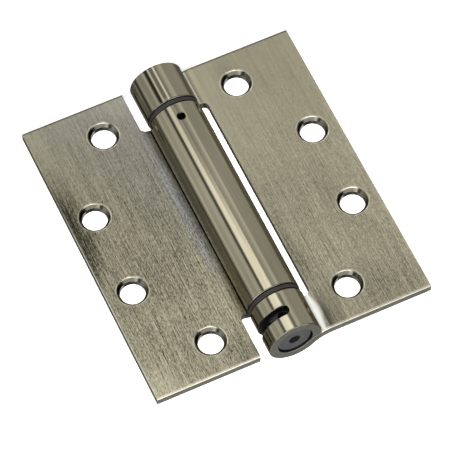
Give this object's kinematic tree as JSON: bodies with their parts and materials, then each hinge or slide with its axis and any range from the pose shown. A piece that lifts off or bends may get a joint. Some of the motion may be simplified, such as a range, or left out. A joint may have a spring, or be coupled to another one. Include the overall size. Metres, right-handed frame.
{
  "type": "door hinge",
  "caption": "Spring hinge for a door: two countersunk leaves on a rolled barrel that holds a torsion spring between bearings, an adjusting plug and a pinned anchor plug.",
  "frame": {"origin": "on the barrel's axis at mid height, which is the centre of the open hinge's box", "axes": "+Z along the barrel towards the end with the hex socket; -Y the countersunk side of the leaves, +Y their backs; +X the leaf that carries the middle knuckle"},
  "size_m": [0.1016, 0.0194, 0.1142],
  "materials": {
    "plated_leaf": "antique nickel plate, satin on the leaves and polished on the barrel",
    "bearing": "black moulded",
    "spring_wire": "oiled music wire",
    "plug_steel": "dark phosphated",
    "pin_steel": "dark oiled"
  },
  "bodies": {
    "frame_side": {"knuckle_leaf": "plated_leaf", "lower_bearing": "bearing", "end_cap": "plug_steel"},
    "door_side": {"barrel_leaf": "plated_leaf", "upper_bearing": "bearing", "anchor_plug": "plug_steel", "anchor_pin": "pin_steel", "torsion_spring": "spring_wire"},
    "adjuster": {"adjusting_plug": "plug_steel"}
  },
  "joints": [
    {"name": "leaf_swing", "type": "hinge", "parent": "frame_side", "child": "door_side", "pos_m": [0, 0, 0], "axis": [0, 0, -1], "range_deg": [0, 180]},
    {"name": "adjuster_turn", "type": "hinge", "parent": "door_side", "child": "adjuster", "pos_m": [0, 0, 0.0495], "axis": [0, 0, -1], "range_deg": [0, 270], "stiffness_Nm_per_rad": 0.25, "deforming": ["torsion_spring"]}
  ]
}
